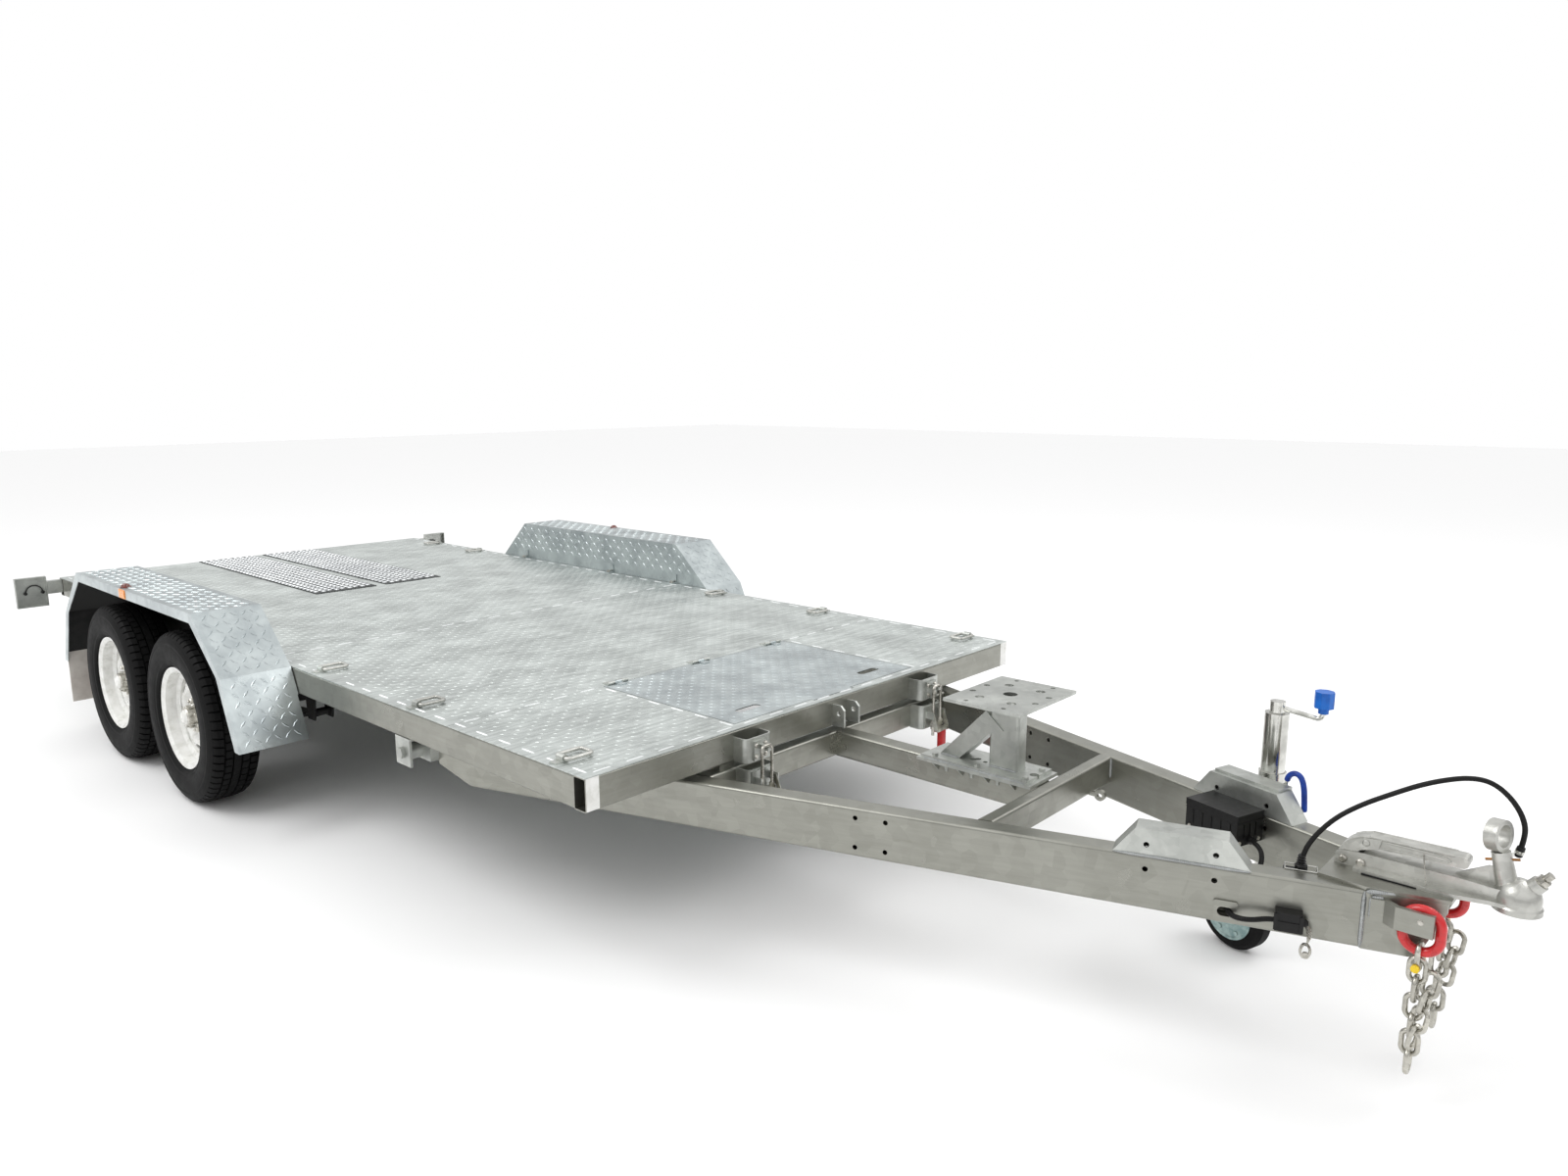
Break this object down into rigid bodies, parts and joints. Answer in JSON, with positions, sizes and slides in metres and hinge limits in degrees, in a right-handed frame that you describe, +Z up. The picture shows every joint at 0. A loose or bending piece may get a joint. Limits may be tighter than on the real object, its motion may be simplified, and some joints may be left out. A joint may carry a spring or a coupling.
{
  "type": "car trailer",
  "caption": "Flat-deck tilting car trailer with tandem axles, folding A-frame drawbar, ball coupling, jockey wheel, winch plate, hatch and tie-down rings",
  "frame": {"origin": "on the ground, in the middle of the trailer's length and width", "axes": "+X to the hitch, +Y to the trailer's left, +Z up"},
  "size_m": [6.287, 2.487, 0.7765],
  "materials": {
    "galvanised_steel": "hot-dip galvanised, satin",
    "tread_plate": "galvanised tread plate",
    "hatch_plate": "galvanised fine tread plate",
    "grip_steel": "galvanised expanded mesh",
    "rim_paint": "white gloss paint",
    "tyre_rubber": "matt",
    "dark_steel": "black paint",
    "flap_sheet": "matt",
    "chain_zinc": "bright zinc",
    "bright_zinc": "bright zinc",
    "red_paint": "gloss",
    "red_grip": "dipped grip",
    "blue_plastic": "satin",
    "black_plastic": "satin",
    "amber_plastic": "clear lens",
    "cable_sheath": "satin",
    "cast_head": "galvanised casting"
  },
  "bodies": {
    "wheel_left_1": {"rim_left_1": "rim_paint", "tyre_left_1": "tyre_rubber"},
    "wheel_left_2": {"rim_left_2": "rim_paint", "tyre_left_2": "tyre_rubber"},
    "wheel_right_1": {"rim_right_1": "rim_paint", "tyre_right_1": "tyre_rubber"},
    "wheel_right_2": {"rim_right_2": "rim_paint", "tyre_right_2": "tyre_rubber"},
    "hatch": {"hatch": "hatch_plate"},
    "latch_lever_left": {"latch_lever_left": "red_grip"},
    "latch_lever_right": {"latch_lever_right": "red_grip"},
    "coupling_lever": {"coupling_lever": "cast_head"},
    "jockey_tube": {"jockey_tube": "bright_zinc"},
    "jockey_leg": {"jockey_leg": "bright_zinc"},
    "jockey_fork": {"jockey_fork": "bright_zinc"},
    "jockey_wheel": {"jockey_wheel": "black_plastic"},
    "jockey_crank": {"jockey_crank": "blue_plastic"},
    "drawbar": {"drawbar_beam_left": "galvanised_steel", "drawbar_beam_right": "galvanised_steel", "beam_risers": "galvanised_steel", "pivot_arms": "galvanised_steel", "drawbar_crossmembers": "galvanised_steel", "centre_beam": "galvanised_steel", "nose_box": "galvanised_steel", "winch_base": "galvanised_steel", "winch_post": "galvanised_steel", "winch_plate": "galvanised_steel", "latch_bases": "galvanised_steel", "coupling_body": "cast_head", "coupling_bolt": "bright_zinc", "chain_arms": "galvanised_steel", "joining_rings": "red_paint", "safety_chains": "chain_zinc", "jockey_bracket": "galvanised_steel", "release_handle": "blue_plastic", "electrical_boxes": "black_plastic", "lead_cable": "cable_sheath", "conduit": "cable_sheath"},
    "deck": {"axles": "dark_steel", "centre_clevis": "galvanised_steel", "deck_catches": "galvanised_steel", "deck_cross_beams": "galvanised_steel", "deck_joists": "galvanised_steel", "deck_panel_front": "galvanised_steel", "deck_panels_rear": "galvanised_steel", "deck_side_beams": "galvanised_steel", "fender_left": "tread_plate", "fender_right": "tread_plate", "grip_strips": "grip_steel", "hatch_hinges": "galvanised_steel", "lamp_panels": "galvanised_steel", "latch_loops": "bright_zinc", "leaf_springs": "dark_steel", "marker_lamps": "amber_plastic", "mudflaps": "flap_sheet", "pivot_brackets": "galvanised_steel", "ring_straps": "galvanised_steel", "spring_hangers": "galvanised_steel", "spring_rails": "galvanised_steel", "tie_rings": "bright_zinc"}
  },
  "joints": [
    {"name": "drawbar_fold", "type": "hinge", "parent": "deck", "child": "drawbar", "pos_m": [0.3575, 0, 0.423], "axis": [0, 1, 0], "range_deg": [0, 22]},
    {"name": "hatch_hinge", "type": "hinge", "parent": "deck", "child": "hatch", "pos_m": [0.631, 0, 0.57], "axis": [0, -1, 0], "range_deg": [0, 100]},
    {"name": "wheel_spin_left_1", "type": "hinge", "parent": "deck", "child": "wheel_left_1", "pos_m": [-0.8805, 1.1425, 0.325], "axis": [0, 1, 0], "continuous": true},
    {"name": "wheel_spin_left_2", "type": "hinge", "parent": "deck", "child": "wheel_left_2", "pos_m": [-1.6215, 1.1425, 0.325], "axis": [0, 1, 0], "continuous": true},
    {"name": "wheel_spin_right_1", "type": "hinge", "parent": "deck", "child": "wheel_right_1", "pos_m": [-0.8805, -1.1425, 0.325], "axis": [0, 1, 0], "continuous": true},
    {"name": "wheel_spin_right_2", "type": "hinge", "parent": "deck", "child": "wheel_right_2", "pos_m": [-1.6215, -1.1425, 0.325], "axis": [0, 1, 0], "continuous": true},
    {"name": "latch_lever_turn_left", "type": "hinge", "parent": "drawbar", "child": "latch_lever_left", "pos_m": [1.3515, 0.423, 0.424], "axis": [0, -1, 0], "range_deg": [0, 120]},
    {"name": "latch_lever_turn_right", "type": "hinge", "parent": "drawbar", "child": "latch_lever_right", "pos_m": [1.3515, -0.423, 0.424], "axis": [0, -1, 0], "range_deg": [0, 120]},
    {"name": "coupling_lever_lift", "type": "hinge", "parent": "drawbar", "child": "coupling_lever", "pos_m": [2.7551, 0, 0.479], "axis": [0, -1, 0], "range_deg": [0, 38]},
    {"name": "jockey_swing", "type": "hinge", "parent": "drawbar", "child": "jockey_tube", "pos_m": [2.49249, 0.29755, 0.482], "axis": [0.3149, 0.9491, 0], "range_deg": [0, 90]},
    {"name": "jockey_wind", "type": "slide", "parent": "jockey_tube", "child": "jockey_leg", "axis": [0, 0, 1], "range_m": [-0.05, 0.105]},
    {"name": "jockey_caster", "type": "hinge", "parent": "jockey_leg", "child": "jockey_fork", "pos_m": [2.49249, 0.29755, 0.214], "axis": [0, 0, 1], "continuous": true},
    {"name": "jockey_wheel_spin", "type": "hinge", "parent": "jockey_fork", "child": "jockey_wheel", "pos_m": [2.42036, 0.32149, 0.1], "axis": [0.3149, 0.9491, 0], "continuous": true},
    {"name": "jockey_crank_turn", "type": "hinge", "parent": "jockey_tube", "child": "jockey_crank", "pos_m": [2.49249, 0.29755, 0.7], "axis": [0, 0, 1], "continuous": true}
  ]
}
